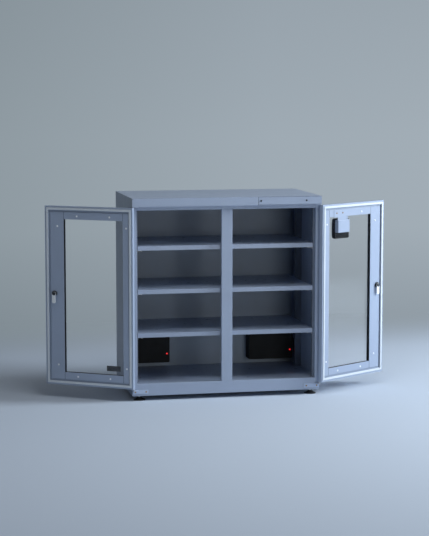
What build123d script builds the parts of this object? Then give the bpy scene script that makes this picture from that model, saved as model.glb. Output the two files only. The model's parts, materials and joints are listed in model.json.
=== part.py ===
from build123d import *
from math import cos, floor, radians, sin
import os

os.makedirs("parts", exist_ok=True)

# A free-standing two-door desiccator cabinet of folded sheet steel, in millimetres.
# +X is to the right of someone facing the doors, -Y is the front and +Z is up.

# ---- Driving sizes: cabinet -------------------------------------------------------------
cabinet_width = 1200.0
cabinet_depth = 685.0        # header face to back panel
cabinet_height = 1264.0      # floor to top cover
foot_height = 31.0           # floor to the underside of the body
sheet = 1.5                  # folded steel sheet
plate = 3.0                  # hinge brackets and base frame
bend_radius = 2.0            # outside radius of a fold
header_height = 52.0
top_jamb_height = 25.0       # strip of frame seen under the header
base_height = 76.0
jamb_width = 30.0            # front flange of each side panel
jamb_return = 60.0           # how far that flange turns back inwards
mullion_width = 69.0
mullion_depth = 25.0
mullion_lip = 14.0           # folded lips at the back of the mullion
rear_flange = 20.0
back_recess = 18.5           # the back panel's pocket, from its rim
rail_return = 20.0           # folded edges of the base rail and the top jamb

# ---- Driving sizes: doors ---------------------------------------------------------------
pan_depth = 28.0             # thickness of a door without its gasket
gasket_width = 14.0
gasket_inset = 10.0          # door edge to gasket
gasket_proud = 4.5
gasket_gap = 0.5             # closed gasket to frame
gasket_foot = 1.0            # the strip's glued foot, then its bellows
gasket_neck = 1.0
half_gap = 3.0               # cabinet centre line to each closed door
door_overlap = 25.0          # door over the base rail
door_top_gap = 5.0           # door to header
pivot_inset = 5.0            # hinge axis from the door's side edge
pivot_setback = 6.0          # hinge axis from the door's outer face
open_angle = 213.0           # how far both doors stand open at rest
lip_width = 26.0
lining_inset = 36.0          # door edge to the lining plates: top, bottom and latch side
hinge_lining_inset = 28.0
hinge_stile_width = 38.0
latch_stile_width = 93.0
lining_rail_height = 45.5
lining_setback = 2.0         # lining plates below the lip
seam_gap = 0.8
glass_thickness = 4.0
glass_margin = 7.0           # glass beyond the window opening
seal_width = 8.0
lining_screw_radius = 2.0
lining_screw_end_inset = 90.0     # stile screws from the ends of the stile
rail_screw_inset = 90.0           # rail screws from the ends of the rail
hinge_screw_inset = 15.5          # hinge stile screws from its outer edge
latch_screw_inset = 49.0          # latch stile screws from its outer edge

# ---- Driving sizes: hinges --------------------------------------------------------------
pin_radius = 3.0
pin_engagement = 12.0        # pin inside the door
running_clearance = 0.05
lift_clearance = 0.3         # collar to door
collar_radius = 5.5
bracket_width = 98.0
bracket_height = 26.0
bracket_drop = 12.0          # door bottom to the lower bracket's ledge
ledge_width = 40.0
bracket_screw_spacing = 68.0
bracket_screw_radius = 2.4
bracket_screw_head_radius = 4.8
bracket_screw_head_height = 2.6

# ---- Driving sizes: latches -------------------------------------------------------------
latch_height = 658.0         # latch axis above the floor
latch_inset = 63.0           # latch axis from the door's free edge
spindle_radius = 6.0
barrel_radius = 10.0
boss_radius = 17.0
cam_length = 61.0            # axis to tip
cam_width = 25.0
cam_thickness = 3.0
cam_behind_frame = 5.0       # frame face to the cam
cam_slot_margin = 5.0
grip_length = 64.0           # wing of the turning handle, tip to tip
grip_width = 15.0
grip_depth = 13.0
handle_hub_radius = 14.0
handle_hub_depth = 9.0
spindle_square = 8.4
stud_radius = 3.0
nut_radius = 8.0
nut_height = 5.0

# ---- Driving sizes: inside --------------------------------------------------------------
shelf_count = 3
shelf_top_height = 964.0     # top shelf's surface above the floor
slot_pitch = 54.4            # slots in the uprights
slots_per_shelf = 5          # shelves stand this many slots apart
slot_width = 14.0
slot_height = 9.0
shelf_lip = 27.0
shelf_sheet = 1.2
shelf_hem = 14.0
shelf_front_gap = 28.0       # frame face to the shelf's front lip
shelf_side_gap = 0.7         # shelf to the uprights
shelf_joint_gap = 1.0        # between the two shelves of a level, behind the mullion
shelf_rear_gap = 1.0
upright_width = 30.0
upright_projection = 10.0    # front uprights stand this far off the side jambs
upright_setback = 44.0       # frame face to the centre of the front upright
rear_upright_setback = 467.0
ledge_bracket_width = 60.0   # brackets under the joint, on the mullion and the back wall
ledge_bracket_height = 26.0
ledge_bracket_reach = 20.0
clip_thickness = 2.0
clip_width = 12.0
clip_reach = 29.0            # ledge under the shelf
clip_height = 12.0
clip_tip = 8.0               # its turned-down end
dryer_width = 296.0
dryer_height = 202.0
dryer_depth = 95.0
dryer_wall = 2.5
dryer_floor_gap = 38.0
dryer_wall_gap = 37.0        # cabinet side to the drying unit
dryer_corner = 6.0
dryer_cover_thickness = 5.0
lamp_radius = 4.0
lamp_inset = 18.0
lamp_rise = 58.0

# ---- Driving sizes: header cover, feet and power inlet ----------------------------------
access_seam = 193.0          # header cover's left edge, from the centre line
access_gap = 1.5
fastener_radius = 5.5
fastener_margin = 17.0       # first fastener from the seam
fastener_spacing = 291.5
foot_side_inset = 49.0       # foot axis from the cabinet's side
foot_front_inset = 43.0      # foot axis behind the frame face
foot_rear_inset = 76.0       # foot axis from the back
foot_pad_radius = 37.0
foot_pad_height = 19.5
stem_radius = 6.0
stem_length = 54.0
locknut_flats = 19.0
locknut_height = 6.5
base_frame_width = 90.0
base_rear_gap = 42.0
inlet_width = 30.0
inlet_height = 24.0
inlet_depth = 22.0
inlet_wall = 3.0
inlet_side_gap = 130.0       # cabinet side to the inlet's centre
inlet_rise = 45.0            # inlet centre above the underside of the body

# ---- Driving sizes: humidity sensor and display -----------------------------------------
tab_start = 108.0            # bracket's edge from the right door's hinge edge
tab_width = 114.0
tab_drop = 48.0              # tab over the top rail
neck_width = 96.0            # bracket just above the sensor box
wire_hole_radius = 3.0
bracket_sheet = 2.0
sensor_start = 144.0
sensor_width = 109.0
sensor_height = 78.0
sensor_drop = 24.5           # window's top edge to the sensor box
sensor_depth = 27.0
display_start = 148.0
display_width = 132.0
display_height = 129.0
display_drop = 14.5          # window's top edge to the display
display_depth = 33.0
display_corner = 10.0
display_edge = 5.0
button_radius, button_drop = 4.5, 30.0
display_bow = 9.0            # the front is deeper at mid-height than at its ends
display_window_width = 96.0
display_window_height = 44.0
display_window_thickness = 2.0
display_window_sink = 5.0    # mid-height front to the window's seat
tab_screw_inset = 26.0
tab_screw_spacing = 57.0

# ---- Worked out from the sizes above ----------------------------------------------------
half_width = cabinet_width / 2
recess = pan_depth + gasket_proud + gasket_gap
door_nose = (
    pivot_inset * sin(radians(open_angle - 180))
    + (pan_depth - pivot_setback) * cos(radians(open_angle - 180))
    - pivot_setback
)                            # how far an open door's edge reaches in front of the header
front = (door_nose - cabinet_depth) / 2
rear = front + cabinet_depth
frame_face = front + recess
body_bottom = foot_height
base_top = body_bottom + base_height
floor_top = base_top - sheet
cover_underside = cabinet_height - sheet
header_bottom = cabinet_height - header_height
jamb_bottom = header_bottom - top_jamb_height
opening_half = half_width - jamb_width
back_face = rear - sheet
wall_face = back_face - back_recess
inlet_x = half_width - inlet_side_gap
door_bottom = base_top - door_overlap
door_top = header_bottom - door_top_gap
door_height = door_top - door_bottom
door_width = half_width - half_gap
pivot_x = half_width - pivot_inset
pivot_y = front + pivot_setback
left_open = Pos(-pivot_x, pivot_y) * Rot(0, 0, -open_angle) * Pos(pivot_x, -pivot_y)
right_open = Pos(pivot_x, pivot_y) * Rot(0, 0, open_angle) * Pos(-pivot_x, -pivot_y)

lining_back = front + pan_depth - lining_setback - sheet     # underside of the lining plates
lining_face = lining_back + sheet
lining_bottom = door_bottom + lining_inset
lining_top = door_top - lining_inset
hinge_lining_x = -half_width + hinge_lining_inset
latch_lining_x = -half_width + door_width - lining_inset
window_left = hinge_lining_x + hinge_stile_width
window_right = latch_lining_x - latch_stile_width
window_bottom = lining_bottom + lining_rail_height
window_top = lining_top - lining_rail_height
glass_front = front + sheet
glass_back = glass_front + glass_thickness
latch_x = -half_gap - latch_inset
cam_front = frame_face + cam_behind_frame
cam_back = cam_front + cam_thickness
boss_face = cam_front - lift_clearance
square_hole = spindle_square + 2 * running_clearance

upright_face = opening_half - upright_projection
shelf_width = upright_face - shelf_side_gap - shelf_joint_gap / 2
shelf_lefts = {"left": -upright_face + shelf_side_gap, "right": shelf_joint_gap / 2}
shelf_front = frame_face + shelf_front_gap
shelf_rear = wall_face - shelf_rear_gap
shelf_depth = shelf_rear - shelf_front
shelf_pitch = slot_pitch * slots_per_shelf
shelf_undersides = [shelf_top_height - shelf_lip - shelf_pitch * i for i in range(shelf_count)]
front_upright_y = frame_face + upright_setback
rear_upright_y = frame_face + rear_upright_setback
upright_top = jamb_bottom + top_jamb_height
slots_below = floor((shelf_undersides[-1] - floor_top) / slot_pitch - 0.5)
slots_above = floor((upright_top - shelf_undersides[-1]) / slot_pitch - 0.5)
slot_heights = [
    shelf_undersides[-1] + slot_pitch * i for i in range(-slots_below, slots_above + 1)
]
dryer_x = half_width - dryer_wall_gap - dryer_width / 2
dryer_bottom = floor_top + dryer_floor_gap
dryer_front = wall_face - dryer_depth
fastener_xs = [access_seam + fastener_margin, access_seam + fastener_margin + fastener_spacing]
header_mid = header_bottom + header_height / 2
foot_xs = [-half_width + foot_side_inset, half_width - foot_side_inset]
foot_ys = [frame_face + foot_front_inset, rear - foot_rear_inset]
bracket_top = door_bottom - bracket_drop
bracket_x = half_width - bracket_width / 2 - 2.0
bracket_screw_xs = [bracket_x - bracket_screw_spacing / 2, bracket_x + bracket_screw_spacing / 2]
bracket_screw_z = bracket_top - bracket_height / 2


def save(piece, name):
    """Label one finished sub-part and write it."""
    piece.label = name
    export_step(piece, f"parts/{name}.step")


def mirrored(piece):
    return mirror(piece, about=Plane.YZ)


# ---- Side panels: outer skin, front jamb with its return, rear flange -------------------
with BuildPart() as left_side_panel:
    with BuildSketch(Plane.XY.offset(body_bottom)):
        with BuildLine():
            FilletPolyline(
                (-opening_half, frame_face + jamb_return),
                (-opening_half, frame_face),
                (-half_width, frame_face),
                (-half_width, back_face),
                (-half_width + rear_flange, back_face),
                radius=bend_radius,
            )
            offset(amount=sheet, side=Side.RIGHT)
        make_face()
    extrude(amount=cover_underside - body_bottom)
    with BuildSketch(Plane.XZ.offset(-frame_face)):
        with Locations((-bracket_screw_xs[1], bracket_screw_z)):
            Circle(bracket_screw_radius + running_clearance)
    extrude(amount=-sheet, mode=Mode.SUBTRACT)
save(left_side_panel.part, "left_side_panel")
save(mirrored(left_side_panel.part), "right_side_panel")

# ---- Back panel: pocketed sheet with a flat rim and the power inlet's cut-out -----------
pocket_side = half_width - rear_flange - 0.5
pocket_top = cover_underside - rear_flange
with BuildPart() as back_panel:
    with BuildSketch(Plane.XZ.offset(-rear)):
        with Locations((0, body_bottom)):
            Rectangle(
                cabinet_width, cover_underside - body_bottom, align=(Align.CENTER, Align.MIN)
            )
        with Locations((inlet_x, body_bottom + inlet_rise)):
            RectangleRounded(inlet_width, inlet_height, 3, mode=Mode.SUBTRACT)
    extrude(amount=sheet)
    with BuildSketch(Plane.XZ.offset(-rear)):
        with Locations((0, floor_top)):
            Rectangle(2 * pocket_side, pocket_top - floor_top, align=(Align.CENTER, Align.MIN))
    extrude(amount=back_recess + sheet)
    fillet(faces().sort_by(Axis.Y)[0].edges(), bend_radius)
    with BuildSketch(Plane.XZ.offset(-rear)):
        with Locations((0, floor_top + sheet)):
            Rectangle(
                2 * (pocket_side - sheet), pocket_top - floor_top - 2 * sheet,
                align=(Align.CENTER, Align.MIN),
            )
    extrude(amount=back_recess, mode=Mode.SUBTRACT)
save(back_panel.part, "back_panel")

# ---- Top cover with its two inner side flanges ------------------------------------------
top_flange = 14.0
top_flange_x = half_width - 2 * sheet - 0.5
with BuildPart() as top_cover:
    with BuildSketch(Plane.XY.offset(cover_underside)):
        with Locations((0, (front + rear) / 2)):
            Rectangle(cabinet_width, cabinet_depth)
    extrude(amount=sheet)
    with BuildSketch(Plane.XY.offset(cover_underside)):
        with Locations(
            (-top_flange_x, (frame_face + back_face) / 2),
            (top_flange_x, (frame_face + back_face) / 2),
        ):
            Rectangle(sheet, back_face - frame_face - 4 * bend_radius)
    extrude(amount=-top_flange)
save(top_cover.part, "top_cover")

# ---- Header: a channel open to the rear, with an opening for the access cover -----------
receiver_height = 16.0
with BuildPart() as header_fascia:
    with BuildSketch(Plane.XY.offset(header_bottom)):
        with Locations((0, (front + frame_face) / 2)):
            Rectangle(cabinet_width, recess)
    extrude(amount=header_height - sheet)
    offset(
        amount=-sheet,
        openings=[faces().sort_by(Axis.Y)[-1], faces().sort_by(Axis.Z)[-1]],
    )
    with BuildSketch(Plane.XZ.offset(-front)):
        with Locations((access_seam, header_bottom + sheet)):
            Rectangle(
                half_width - access_seam, header_height - 2 * sheet, align=(Align.MIN, Align.MIN)
            )
    extrude(amount=-sheet, mode=Mode.SUBTRACT)
    with BuildSketch(Plane.XZ.offset(-front - sheet)):
        with Locations((access_seam - receiver_height, header_mid)):
            Rectangle(
                half_width - sheet - access_seam + receiver_height,
                receiver_height,
                align=(Align.MIN, Align.CENTER),
            )
        with Locations(*[(x, header_mid) for x in fastener_xs]):
            Circle(fastener_radius / 2 + running_clearance, mode=Mode.SUBTRACT)
    extrude(amount=-sheet)
save(header_fascia.part, "header_fascia")

with BuildPart() as header_access_cover:
    with BuildSketch(Plane.XZ.offset(-front)):
        with Locations((access_seam + access_gap, header_bottom + sheet + access_gap)):
            Rectangle(
                half_width - access_seam - access_gap,
                header_height - 2 * sheet - 2 * access_gap,
                align=(Align.MIN, Align.MIN),
            )
        with Locations(*[(x, header_mid) for x in fastener_xs]):
            Circle(fastener_radius / 2 + running_clearance, mode=Mode.SUBTRACT)
    extrude(amount=-sheet)
save(header_access_cover.part, "header_access_cover")

with BuildPart() as header_fasteners:
    fastener_head = 2.5
    for x in fastener_xs:
        with BuildSketch(Plane((x, front - fastener_head, header_mid), x_dir=(1, 0, 0), z_dir=(0, 0, 1))):
            with BuildLine():
                Polyline(
                    (0, 0), (fastener_radius - 1, 0), (fastener_radius, 1),
                    (fastener_radius, fastener_head), (fastener_radius / 2, fastener_head),
                    (fastener_radius / 2, fastener_head + 2 * sheet + 3),
                    (0, fastener_head + 2 * sheet + 3), close=True,
                )
            make_face()
        revolve(axis=Axis((x, 0, header_mid), (0, 1, 0)))
        with BuildSketch(Plane.XZ.offset(-front + fastener_head)):
            with Locations((x, header_mid)):
                Rectangle(2 * fastener_radius, 1.4, rotation=30)
        extrude(amount=-1, mode=Mode.SUBTRACT)
save(header_fasteners.part, "header_fasteners")

# ---- Top jamb and base rail: folded channels between the side jambs ---------------------
with BuildPart() as top_jamb:
    with BuildSketch(Plane.YZ.offset(-opening_half)):
        with BuildLine():
            FilletPolyline(
                (frame_face, cover_underside),
                (frame_face, jamb_bottom),
                (frame_face + rail_return, jamb_bottom),
                (frame_face + rail_return, jamb_bottom + top_jamb_height / 2),
                radius=bend_radius,
            )
            offset(amount=sheet, side=Side.LEFT)
        make_face()
    extrude(amount=2 * opening_half)
save(top_jamb.part, "top_jamb")

with BuildPart() as base_rail:
    with BuildSketch(Plane.YZ.offset(-opening_half)):
        with BuildLine():
            FilletPolyline(
                (frame_face + rail_return, base_top),
                (frame_face, base_top),
                (frame_face, body_bottom),
                (frame_face + rail_return, body_bottom),
                radius=bend_radius,
            )
            offset(amount=sheet, side=Side.LEFT)
        make_face()
    extrude(amount=2 * opening_half)
    with BuildSketch(Plane.XZ.offset(-frame_face)):
        with Locations(
            (-bracket_screw_xs[0], bracket_screw_z), (bracket_screw_xs[0], bracket_screw_z)
        ):
            Circle(bracket_screw_radius + running_clearance)
    extrude(amount=-sheet, mode=Mode.SUBTRACT)
save(base_rail.part, "base_rail")

# ---- Floor pan, notched round the side jambs --------------------------------------------
notch_y = frame_face + jamb_return + 1.0
floor_front = frame_face + bend_radius
floor_half = half_width - bend_radius
with BuildPart() as floor_pan:
    with BuildSketch(Plane.XY.offset(floor_top - sheet)) as floor_outline:
        with BuildLine():
            Polyline(
                (-opening_half, floor_front), (opening_half, floor_front),
                (opening_half, notch_y), (floor_half, notch_y),
                (floor_half, back_face - sheet), (-floor_half, back_face - sheet),
                (-floor_half, notch_y), (-opening_half, notch_y), close=True,
            )
        make_face()
    extrude(amount=sheet)
save(floor_pan.part, "floor_pan")

# ---- Base frame: plate ring with an upright web, tapped for the feet --------------------
base_frame_half = opening_half - 0.5
base_frame_front = frame_face + bend_radius
base_frame_rear = back_face - base_rear_gap
base_frame_depth = base_frame_rear - base_frame_front
base_frame_mid = (base_frame_front + base_frame_rear) / 2
base_frame_bottom = body_bottom + sheet
with BuildPart() as base_frame:
    with BuildSketch(Plane.XY.offset(base_frame_bottom)):
        with Locations((0, base_frame_mid)):
            Rectangle(2 * base_frame_half, base_frame_depth)
            Rectangle(
                2 * (base_frame_half - base_frame_width), base_frame_depth - 2 * base_frame_width,
                mode=Mode.SUBTRACT,
            )
        with Locations(*[(x, y) for x in foot_xs for y in foot_ys]):
            Circle(stem_radius + running_clearance, mode=Mode.SUBTRACT)
    extrude(amount=plate)
    with BuildSketch(Plane.XY.offset(base_frame_bottom + plate)):
        with Locations((0, base_frame_mid)):
            Rectangle(2 * (base_frame_half - base_frame_width) + 2 * plate,
                      base_frame_depth - 2 * base_frame_width + 2 * plate)
            Rectangle(
                2 * (base_frame_half - base_frame_width), base_frame_depth - 2 * base_frame_width,
                mode=Mode.SUBTRACT,
            )
    extrude(amount=floor_top - sheet - base_frame_bottom - plate)
save(base_frame.part, "base_frame")

# ---- Centre mullion: lipped channel with a cam slot in each return ----------------------
cam_slot_bottom = latch_height - cam_length - cam_slot_margin
cam_slot_top = latch_height + cam_width / 2 + cam_slot_margin
mullion_back = frame_face + mullion_depth
with BuildPart() as centre_mullion:
    with BuildSketch(Plane.XY.offset(base_top)):
        with BuildLine():
            FilletPolyline(
                (-mullion_width / 2 + mullion_lip, mullion_back),
                (-mullion_width / 2, mullion_back),
                (-mullion_width / 2, frame_face),
                (mullion_width / 2, frame_face),
                (mullion_width / 2, mullion_back),
                (mullion_width / 2 - mullion_lip, mullion_back),
                radius=bend_radius,
            )
            offset(amount=sheet, side=Side.LEFT)
        make_face()
    extrude(amount=jamb_bottom - base_top)
    with BuildSketch(Plane.YZ):
        with Locations(((cam_front + cam_back) / 2, (cam_slot_bottom + cam_slot_top) / 2)):
            RectangleRounded(
                cam_thickness + 6, cam_slot_top - cam_slot_bottom, (cam_thickness + 5) / 2
            )
    extrude(amount=mullion_width, both=True, mode=Mode.SUBTRACT)
save(centre_mullion.part, "centre_mullion")


# ---- Uprights: slotted channels on the side walls ---------------------------------------
def slotted_channel(base_plane, depth):
    """Channel on a plane whose y axis points out of the wall, slotted at the shelf pitch."""
    with BuildPart() as channel:
        with BuildSketch(base_plane):
            with BuildLine():
                FilletPolyline(
                    (-upright_width / 2, 0), (-upright_width / 2, depth),
                    (upright_width / 2, depth), (upright_width / 2, 0),
                    radius=bend_radius,
                )
                offset(amount=sheet, side=Side.RIGHT)
            make_face()
        extrude(amount=upright_top - floor_top)
        wall = Plane(base_plane.from_local_coords((0, depth, -floor_top)), x_dir=base_plane.x_dir,
                     z_dir=base_plane.y_dir)
        with BuildSketch(wall):
            with Locations(*[(0, -z) for z in slot_heights]):
                Rectangle(slot_width, slot_height)
        extrude(amount=-2 * sheet, mode=Mode.SUBTRACT)
    return channel.part


def wall_plane(x, y, facing):
    """Floor-level plane with its y axis along the direction a channel faces."""
    direction = Vector(*facing)
    return Plane((x, y, floor_top), x_dir=direction.cross(Vector(0, 0, 1)), z_dir=(0, 0, 1))


with BuildPart() as shelf_uprights:
    for side in (-1, 1):
        for y, wall in ((front_upright_y, opening_half), (rear_upright_y, half_width - sheet)):
            add(slotted_channel(wall_plane(side * wall, y, (-side, 0, 0)), wall - upright_face))
save(shelf_uprights.part, "shelf_uprights")

# ---- Shelves: folded pans with a hemmed front lip and a stiffening channel --------------
level_names = ["upper", "middle", "lower"]
shelf_mid_y = (shelf_front + shelf_rear) / 2
for side_name, shelf_left in shelf_lefts.items():
    for level, underside in zip(level_names, shelf_undersides):
        deck_underside = underside + shelf_lip - shelf_sheet
        with BuildPart() as shelf:
            with BuildSketch(Plane.XY.offset(underside)):
                with Locations((shelf_left, shelf_mid_y)):
                    Rectangle(shelf_width, shelf_depth, align=(Align.MIN, Align.CENTER))
            extrude(amount=shelf_lip)
            offset(amount=-shelf_sheet, openings=faces().sort_by(Axis.Z)[0])
            with BuildSketch(Plane.XY.offset(underside)):
                with Locations((shelf_left, shelf_front)):
                    Rectangle(shelf_width, shelf_hem, align=(Align.MIN, Align.MIN))
                with Locations((shelf_left, shelf_rear)):
                    Rectangle(shelf_width, shelf_hem, align=(Align.MIN, Align.MAX))
            extrude(amount=shelf_sheet)
            with BuildSketch(Plane.YZ.offset(shelf_left + shelf_sheet)):
                with BuildLine():
                    FilletPolyline(
                        (shelf_mid_y - 36, deck_underside), (shelf_mid_y - 24, deck_underside),
                        (shelf_mid_y - 18, deck_underside - 14),
                        (shelf_mid_y + 18, deck_underside - 14),
                        (shelf_mid_y + 24, deck_underside), (shelf_mid_y + 36, deck_underside),
                        radius=bend_radius,
                    )
                    offset(amount=shelf_sheet, side=Side.RIGHT)
                make_face()
            extrude(amount=shelf_width - 2 * shelf_sheet)
        save(shelf.part, f"{side_name}_{level}_shelf")

# ---- Shelf clips: hooked through a slot, with ledge brackets under the joint ------------
hook_drop = slot_height / 2 - 1
with BuildPart() as shelf_clips:
    for side in (-1, 1):
        for y in (front_upright_y, rear_upright_y):
            for underside in shelf_undersides:
                clip_plane = Plane(
                    (side * upright_face, y, underside), x_dir=(-side, 0, 0), z_dir=(0, side, 0)
                )
                with BuildSketch(clip_plane):
                    Rectangle(clip_thickness, clip_height, align=(Align.MIN, Align.MAX))
                    Rectangle(clip_reach, clip_thickness, align=(Align.MIN, Align.MAX))
                    with Locations((clip_reach, 0)):
                        Rectangle(clip_thickness, clip_tip, align=Align.MAX)
                extrude(amount=clip_width / 2, both=True)
                with BuildSketch(clip_plane):
                    with Locations((0, -hook_drop)):
                        Rectangle(sheet + 2.5, hook_drop * 0.8, align=(Align.MAX, Align.MIN))
                extrude(amount=clip_width / 2 - 0.3, both=True)
    for seat, away in ((mullion_back, Align.MIN), (wall_face, Align.MAX)):
        for underside in shelf_undersides:
            with BuildSketch(Plane.YZ):
                with Locations((seat, underside)):
                    Rectangle(clip_thickness, ledge_bracket_height, align=(away, Align.MAX))
                    Rectangle(ledge_bracket_reach, clip_thickness, align=(away, Align.MAX))
            extrude(amount=ledge_bracket_width / 2, both=True)
save(shelf_clips.part, "shelf_clips")

# ---- Drying units on the back wall ------------------------------------------------------
vent_count = 16
vent_pitch = 15.0
for side, side_name in ((-1, "left"), (1, "right")):
    dryer_mid = (side * dryer_x, dryer_bottom + dryer_height / 2)
    with BuildPart() as dryer_housing:
        with BuildSketch(Plane.XZ.offset(-wall_face)):
            with Locations(dryer_mid):
                RectangleRounded(dryer_width, dryer_height, dryer_corner)
        extrude(amount=dryer_depth - dryer_cover_thickness)
        offset(amount=-dryer_wall, openings=faces().sort_by(Axis.Y)[0])
        with BuildSketch(Plane.XY.offset(dryer_bottom + dryer_height)):
            with Locations((side * dryer_x, (dryer_front + wall_face) / 2)):
                with GridLocations(vent_pitch, 1, vent_count, 1):
                    Rectangle(5, dryer_depth * 0.55)
        extrude(amount=-dryer_wall, mode=Mode.SUBTRACT)
    save(dryer_housing.part, f"{side_name}_dryer_housing")

with BuildPart() as dryer_covers:
    for side in (-1, 1):
        dryer_mid = (side * dryer_x, dryer_bottom + dryer_height / 2)
        with BuildPart(mode=Mode.ADD) as dryer_cover:
            with BuildSketch(Plane.XZ.offset(-dryer_front - dryer_cover_thickness)):
                with Locations(dryer_mid):
                    RectangleRounded(dryer_width, dryer_height, dryer_corner)
            extrude(amount=dryer_cover_thickness)
            chamfer(faces().sort_by(Axis.Y)[0].edges(), 2)
            with BuildSketch(Plane.XZ.offset(-dryer_front)):
                with Locations((dryer_mid[0] + dryer_width / 2 - lamp_inset, dryer_bottom + lamp_rise)):
                    Circle(lamp_radius + running_clearance)
            extrude(amount=-dryer_cover_thickness, mode=Mode.SUBTRACT)
save(dryer_covers.part, "dryer_covers")

with BuildPart() as dryer_lamps:
    for side in (-1, 1):
        lamp_x = side * dryer_x + dryer_width / 2 - lamp_inset
        with BuildSketch(Plane.XZ.offset(-dryer_front - dryer_cover_thickness)):
            with Locations((lamp_x, dryer_bottom + lamp_rise)):
                Circle(lamp_radius)
        extrude(amount=dryer_cover_thickness)
        with BuildSketch(Plane.XZ.offset(-dryer_front)):
            with Locations((lamp_x, dryer_bottom + lamp_rise)):
                Circle(lamp_radius + 1.2)
        extrude(amount=1.6, taper=25)
save(dryer_lamps.part, "dryer_lamps")

# ---- Hinge brackets, pins and their screws ----------------------------------------------
with BuildPart() as lower_hinge_bracket:
    with BuildSketch(Plane.XZ.offset(-frame_face)):
        with Locations((-bracket_x, bracket_top)):
            Rectangle(bracket_width, bracket_height, align=(Align.CENTER, Align.MAX))
        with Locations(*[(-x, bracket_screw_z) for x in bracket_screw_xs]):
            Circle(bracket_screw_radius + running_clearance, mode=Mode.SUBTRACT)
    extrude(amount=plate)
    fillet(edges().filter_by(Axis.Y).group_by(Axis.Z)[0], 4)
    with BuildSketch(Plane.XY.offset(bracket_top)):
        with BuildLine():
            Polyline(
                (-half_width + 0.5, frame_face), (-half_width + ledge_width, frame_face),
                (-half_width + ledge_width / 2, front + 0.5), (-half_width + 0.5, front + 0.5),
                close=True,
            )
        make_face()
    extrude(amount=-plate)
    with BuildSketch(Plane.XY.offset(bracket_top)):
        with Locations((-pivot_x, pivot_y)):
            Circle(pin_radius)
    extrude(amount=-plate, mode=Mode.SUBTRACT)
with BuildPart() as lower_hinge_brackets:
    add(lower_hinge_bracket.part)
    add(mirrored(lower_hinge_bracket.part))
save(lower_hinge_brackets.part, "lower_hinge_brackets")

with BuildPart() as upper_hinge_bracket:
    with BuildSketch(Plane.XY.offset(header_bottom)):
        with BuildLine():
            Polyline(
                (-half_width + 0.5, frame_face - 1), (-half_width + 1.6 * ledge_width, frame_face - 1),
                (-half_width + ledge_width, front + 0.5), (-half_width + 0.5, front + 0.5),
                close=True,
            )
        make_face()
        with Locations((-pivot_x, pivot_y)):
            Circle(pin_radius, mode=Mode.SUBTRACT)
    extrude(amount=-plate)
with BuildPart() as upper_hinge_brackets:
    add(upper_hinge_bracket.part)
    add(mirrored(upper_hinge_bracket.part))
save(upper_hinge_brackets.part, "upper_hinge_brackets")

with BuildPart() as hinge_pins:
    for side in (-1, 1):
        pin_spot = (side * pivot_x, pivot_y)
        lower_head = 3.0
        with BuildSketch(Plane.XY.offset(bracket_top - plate)):
            with Locations(pin_spot):
                Circle(pin_radius)
        extrude(amount=plate + bracket_drop + pin_engagement)
        with BuildSketch(Plane.XY.offset(bracket_top - plate)):
            with Locations(pin_spot):
                RegularPolygon(collar_radius, 6)
        extrude(amount=-lower_head)
        with BuildSketch(Plane.XY.offset(bracket_top)):
            with Locations(pin_spot):
                Circle(collar_radius)
        extrude(amount=bracket_drop - lift_clearance)
        with BuildSketch(Plane.XY.offset(header_bottom)):
            with Locations(pin_spot):
                Circle(pin_radius)
        extrude(amount=-door_top_gap - pin_engagement)
        with BuildSketch(Plane.XY.offset(header_bottom - plate)):
            with Locations(pin_spot):
                Circle(collar_radius)
        extrude(amount=-(door_top_gap - plate - lift_clearance))
save(hinge_pins.part, "hinge_pins")


def pan_head_screws(spots, seat_y, radius, head_radius, head_height, length):
    """Cross-recessed pan-head screws along +Y, seated on the plane y = seat_y."""
    with BuildPart() as screws:
        for x, z in spots:
            with BuildSketch(Plane((x, seat_y, z), x_dir=(1, 0, 0), z_dir=(0, 0, 1))):
                with BuildLine():
                    Polyline(
                        (0, -head_height), (head_radius * 0.7, -head_height),
                        (head_radius, -head_height * 0.4), (head_radius, 0), (radius, 0),
                        (radius, length), (0, length), close=True,
                    )
                make_face()
            revolve(axis=Axis((x, 0, z), (0, 1, 0)))
    return screws.part


with BuildPart() as bracket_screws:
    screw_spots = [(side * x, bracket_screw_z) for side in (-1, 1) for x in bracket_screw_xs]
    add(pan_head_screws(screw_spots, frame_face - plate, bracket_screw_radius,
                        bracket_screw_head_radius, bracket_screw_head_height, plate + sheet + 6))
save(bracket_screws.part, "bracket_screws")

# ---- Levelling feet ---------------------------------------------------------------------
with BuildPart() as foot_locknuts:
    for x in foot_xs:
        for y in foot_ys:
            with BuildSketch(Plane.XY.offset(base_frame_bottom)):
                with Locations((x, y)):
                    RegularPolygon(locknut_flats / 2, 6, major_radius=False)
                    Circle(stem_radius + running_clearance, mode=Mode.SUBTRACT)
            extrude(amount=-locknut_height)
save(foot_locknuts.part, "foot_locknuts")

socket_depth = 7.0
stem_start = foot_pad_height - socket_depth + running_clearance
wrench_flats = 10.0
with BuildPart() as foot_stems:
    for x in foot_xs:
        for y in foot_ys:
            with BuildSketch(Plane.XY.offset(stem_start)):
                with Locations((x, y)):
                    Circle(stem_radius)
            extrude(amount=stem_length)
    chamfer(edges().group_by(Axis.Z)[-1], 1.2)
    for x in foot_xs:
        for y in foot_ys:
            with BuildSketch(Plane.XY.offset(foot_pad_height + 1)):
                with Locations((x, y)):
                    Circle(stem_radius + 0.5)
                    Rectangle(wrench_flats, 4 * stem_radius, mode=Mode.INTERSECT)
            extrude(amount=5)
save(foot_stems.part, "foot_stems")

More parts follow.
